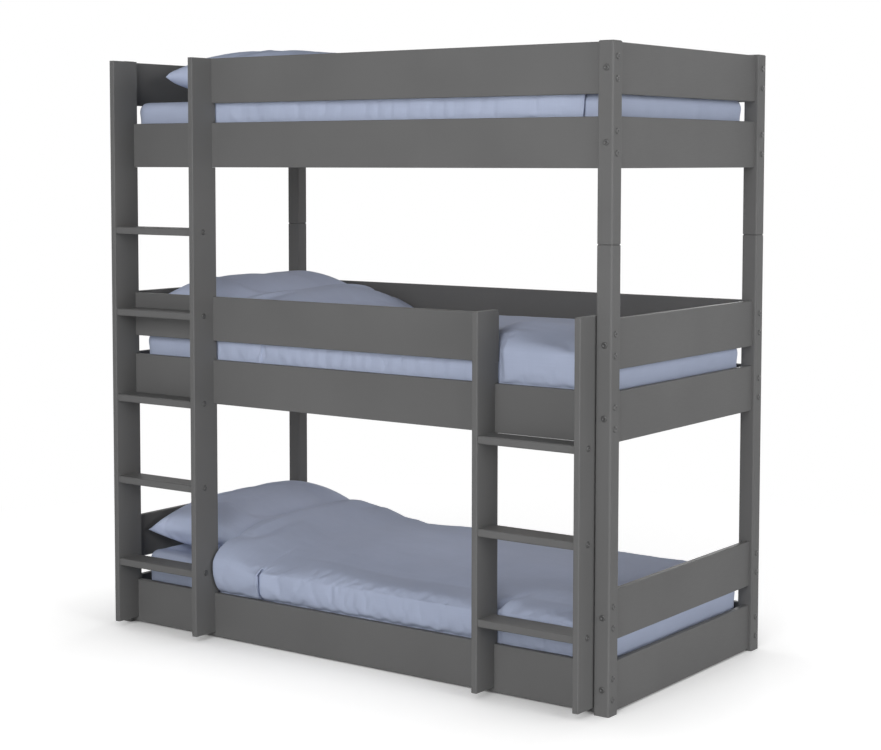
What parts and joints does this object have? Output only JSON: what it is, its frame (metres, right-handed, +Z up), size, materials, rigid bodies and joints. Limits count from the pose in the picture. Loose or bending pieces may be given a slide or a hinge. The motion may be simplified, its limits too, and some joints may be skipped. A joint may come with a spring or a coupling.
{
  "type": "triple bunk bed",
  "caption": "Painted timber bunk bed with stacked single bunks, slatted bases, guard boards and two hooked-on ladders, made up with mattresses, pillows and turned-back duvets.",
  "frame": {"origin": "on the floor under the middle of the overall box", "axes": "+Z up, +X from the head end to the foot end, -Y towards the front with the ladders"},
  "size_m": [1.978, 1.06, 2.0023],
  "materials": {
    "painted_timber": "satin grey paint",
    "bare_timber": "planed softwood",
    "pin_steel": "zinc plated",
    "fitted_sheet": "plain weave cotton",
    "bed_linen": "plain weave cotton"
  },
  "bodies": {
    "root": {"back_foot_lower_post": "painted_timber", "back_foot_upper_post": "painted_timber", "back_head_lower_post": "painted_timber", "back_head_upper_post": "painted_timber", "bottom_back_rail": "painted_timber", "bottom_duvet": "bed_linen", "bottom_foot_guard": "painted_timber", "bottom_foot_rail": "painted_timber", "bottom_front_rail": "painted_timber", "bottom_head_guard": "painted_timber", "bottom_head_rail": "painted_timber", "bottom_mattress": "fitted_sheet", "bottom_pillow": "bed_linen", "bottom_slat_bearers": "bare_timber", "bottom_slats": "bare_timber", "front_foot_lower_post": "painted_timber", "front_foot_upper_post": "painted_timber", "front_head_lower_post": "painted_timber", "front_head_upper_post": "painted_timber", "middle_back_guard": "painted_timber", "middle_back_rail": "painted_timber", "middle_duvet": "bed_linen", "middle_foot_guard": "painted_timber", "middle_foot_rail": "painted_timber", "middle_front_guard": "painted_timber", "middle_front_rail": "painted_timber", "middle_head_guard": "painted_timber", "middle_head_rail": "painted_timber", "middle_mattress": "fitted_sheet", "middle_pillow": "bed_linen", "middle_slat_bearers": "bare_timber", "middle_slats": "bare_timber", "post_pins": "pin_steel", "short_ladder_left_stile": "painted_timber", "short_ladder_right_stile": "painted_timber", "short_ladder_tread_1": "painted_timber", "short_ladder_tread_2": "painted_timber", "short_ladder_tread_3": "painted_timber", "tall_ladder_left_stile": "painted_timber", "tall_ladder_right_stile": "painted_timber", "tall_ladder_tread_1": "painted_timber", "tall_ladder_tread_2": "painted_timber", "tall_ladder_tread_3": "painted_timber", "tall_ladder_tread_4": "painted_timber", "tall_ladder_tread_5": "painted_timber", "top_back_guard": "painted_timber", "top_back_rail": "painted_timber", "top_duvet": "bed_linen", "top_foot_guard": "painted_timber", "top_foot_rail": "painted_timber", "top_front_guard": "painted_timber", "top_front_rail": "painted_timber", "top_head_guard": "painted_timber", "top_head_rail": "painted_timber", "top_mattress": "fitted_sheet", "top_pillow": "bed_linen", "top_slat_bearers": "bare_timber", "top_slats": "bare_timber"}
  },
  "joints": []
}
